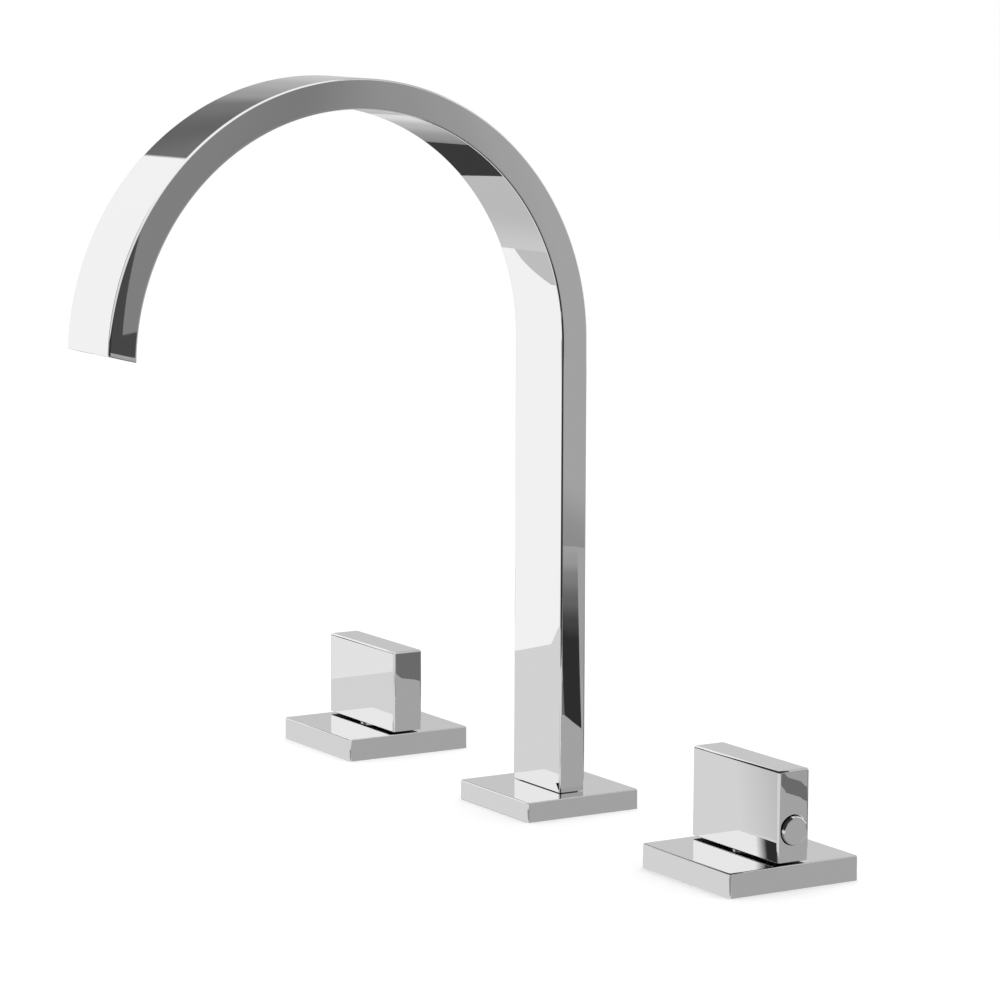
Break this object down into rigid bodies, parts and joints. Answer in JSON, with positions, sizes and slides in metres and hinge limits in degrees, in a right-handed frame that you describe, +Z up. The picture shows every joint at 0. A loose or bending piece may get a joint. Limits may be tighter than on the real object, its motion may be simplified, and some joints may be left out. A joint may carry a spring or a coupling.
{
  "type": "widespread bathroom faucet",
  "caption": "Chromed widespread basin faucet: flat-bar gooseneck spout on a square plate between block lever handles on square plates.",
  "frame": {"origin": "centre of the spout's tap hole at the deck's top face", "axes": "+Z up, the spout reaches towards -Y, +X to the user's right with the handles in a row along X"},
  "size_m": [0.3306, 0.2249, 0.369],
  "materials": {
    "chrome": "polished chrome plate",
    "brass": "machined brass",
    "steel": "stainless steel",
    "rubber": "matt black rubber",
    "ceramic": "lapped ceramic",
    "plastic": "grey plastic"
  },
  "bodies": {
    "base": {"spout_arch": "chrome", "spout_escutcheon": "chrome", "left_escutcheon": "chrome", "left_neck_sleeve": "chrome", "right_escutcheon": "chrome", "right_neck_sleeve": "chrome", "spout_foot": "brass", "spout_shank": "brass", "spout_lock_nut": "brass", "supply_tee": "brass", "tee_nut": "brass", "left_valve_body": "brass", "left_ring_nut": "brass", "left_lock_nut": "brass", "left_cartridge_body": "brass", "right_valve_body": "brass", "right_ring_nut": "brass", "right_lock_nut": "brass", "right_cartridge_body": "brass", "spout_steel_washer": "steel", "left_steel_washer": "steel", "right_steel_washer": "steel", "outlet_gasket": "rubber", "spout_plate_gasket": "rubber", "spout_foot_gasket": "rubber", "spout_rubber_washer": "rubber", "tee_washer": "rubber", "left_plate_gasket": "rubber", "left_valve_gasket": "rubber", "left_rubber_washer": "rubber", "left_seat_seal": "rubber", "right_plate_gasket": "rubber", "right_valve_gasket": "rubber", "right_rubber_washer": "rubber", "right_seat_seal": "rubber", "stream_former": "plastic", "left_fixed_disc": "ceramic", "right_fixed_disc": "ceramic"},
    "left_handle_body": {"left_handle": "chrome", "left_handle_insert": "brass", "left_set_screw": "steel", "left_cartridge_stem": "brass", "left_moving_disc": "ceramic", "left_stem_o_ring": "rubber", "left_stem_clip": "steel"},
    "left_button_body": {"left_button": "chrome", "left_button_clip": "steel", "left_button_spring": "steel"},
    "right_handle_body": {"right_handle": "chrome", "right_handle_insert": "brass", "right_set_screw": "steel", "right_cartridge_stem": "brass", "right_moving_disc": "ceramic", "right_stem_o_ring": "rubber", "right_stem_clip": "steel"},
    "right_button_body": {"right_button": "chrome", "right_button_clip": "steel", "right_button_spring": "steel"}
  },
  "joints": [
    {"name": "left_handle_turn", "type": "hinge", "parent": "base", "child": "left_handle_body", "pos_m": [-0.1367, 0, 0.0099], "axis": [0, 0, 1], "range_deg": [0, 90]},
    {"name": "right_handle_turn", "type": "hinge", "parent": "base", "child": "right_handle_body", "pos_m": [0.1367, 0, 0.0099], "axis": [0, 0, 1], "range_deg": [-90, 0]},
    {"name": "left_button_press", "type": "slide", "parent": "left_handle_body", "child": "left_button_body", "axis": [1, 0, 0], "range_m": [0, 0.0012], "stiffness_N_per_m": 700, "deforming": ["left_button_spring"]},
    {"name": "right_button_press", "type": "slide", "parent": "right_handle_body", "child": "right_button_body", "axis": [-1, 0, 0], "range_m": [0, 0.0012], "stiffness_N_per_m": 700, "deforming": ["right_button_spring"]}
  ]
}
